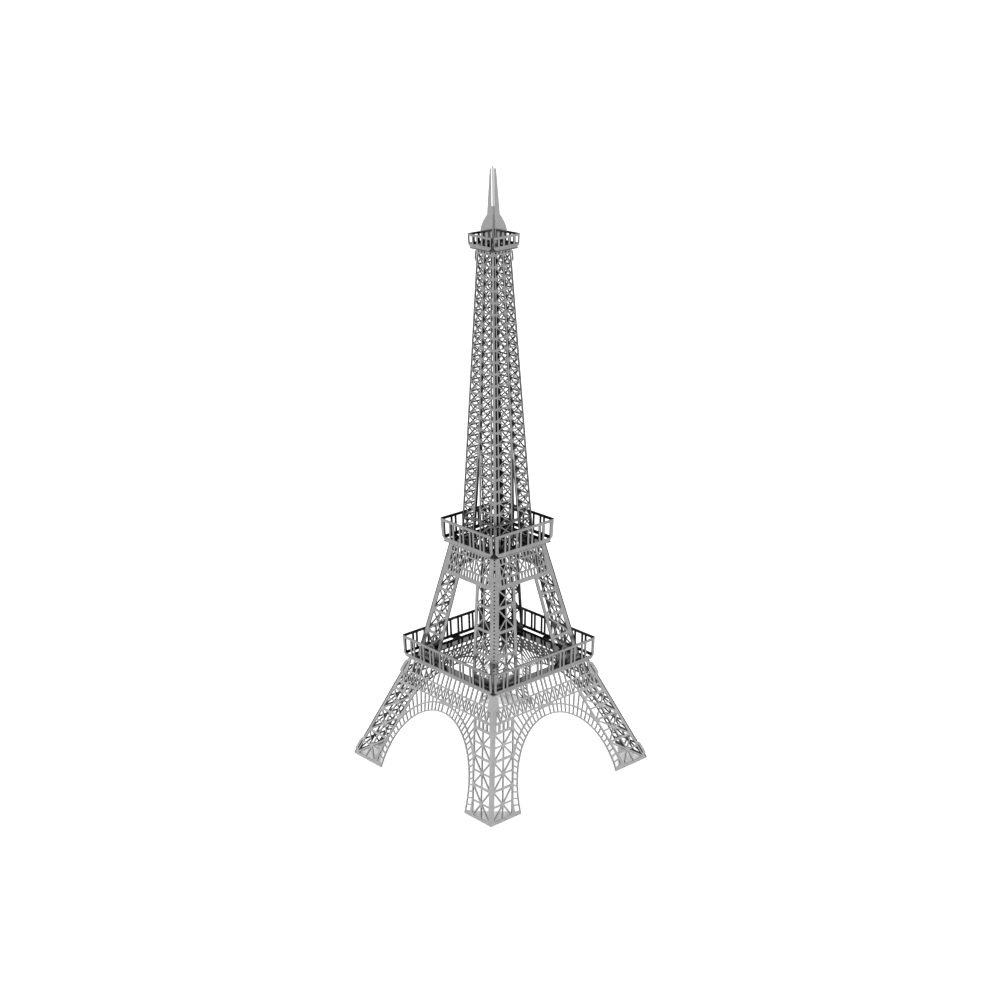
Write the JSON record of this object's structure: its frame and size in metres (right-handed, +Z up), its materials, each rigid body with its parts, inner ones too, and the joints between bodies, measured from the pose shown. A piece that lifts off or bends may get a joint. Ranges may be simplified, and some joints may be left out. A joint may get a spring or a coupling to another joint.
{
  "type": "miniature lattice tower",
  "caption": "Miniature lattice tower of folded, pierced sheet steel with splayed legs, arches, railed decks and a crossed-plate spire.",
  "frame": {"origin": "on the table, under the tower's axis, level with the undersides of the four foot plates", "axes": "+Z up the tower's axis; -Y and +X are the outward normals of the two faces that the front corner joins"},
  "size_m": [0.0498, 0.0498, 0.14],
  "materials": {
    "lattice_sheet": "satin rolled steel sheet",
    "deck_sheet": "bright polished steel sheet",
    "rail_sheet": "satin rolled steel sheet",
    "foot_sheet": "satin rolled steel sheet",
    "spire_sheet": "satin rolled steel sheet"
  },
  "bodies": {
    "root": {"lower_shell_front": "lattice_sheet", "lower_shell_back": "lattice_sheet", "middle_shell_front": "lattice_sheet", "middle_shell_back": "lattice_sheet", "upper_shell_front": "lattice_sheet", "upper_shell_back": "lattice_sheet", "first_deck": "deck_sheet", "first_rail_front_left": "rail_sheet", "first_rail_front_right": "rail_sheet", "first_rail_back_right": "rail_sheet", "first_rail_back_left": "rail_sheet", "second_deck": "deck_sheet", "second_rail_front_left": "rail_sheet", "second_rail_front_right": "rail_sheet", "second_rail_back_right": "rail_sheet", "second_rail_back_left": "rail_sheet", "top_deck": "deck_sheet", "top_rail_front_left": "rail_sheet", "top_rail_front_right": "rail_sheet", "top_rail_back_right": "rail_sheet", "top_rail_back_left": "rail_sheet", "foot_plate_front": "foot_sheet", "foot_plate_right": "foot_sheet", "foot_plate_back": "foot_sheet", "foot_plate_left": "foot_sheet", "spire_plate_wide": "spire_sheet", "spire_plate_cross": "spire_sheet"}
  },
  "joints": []
}
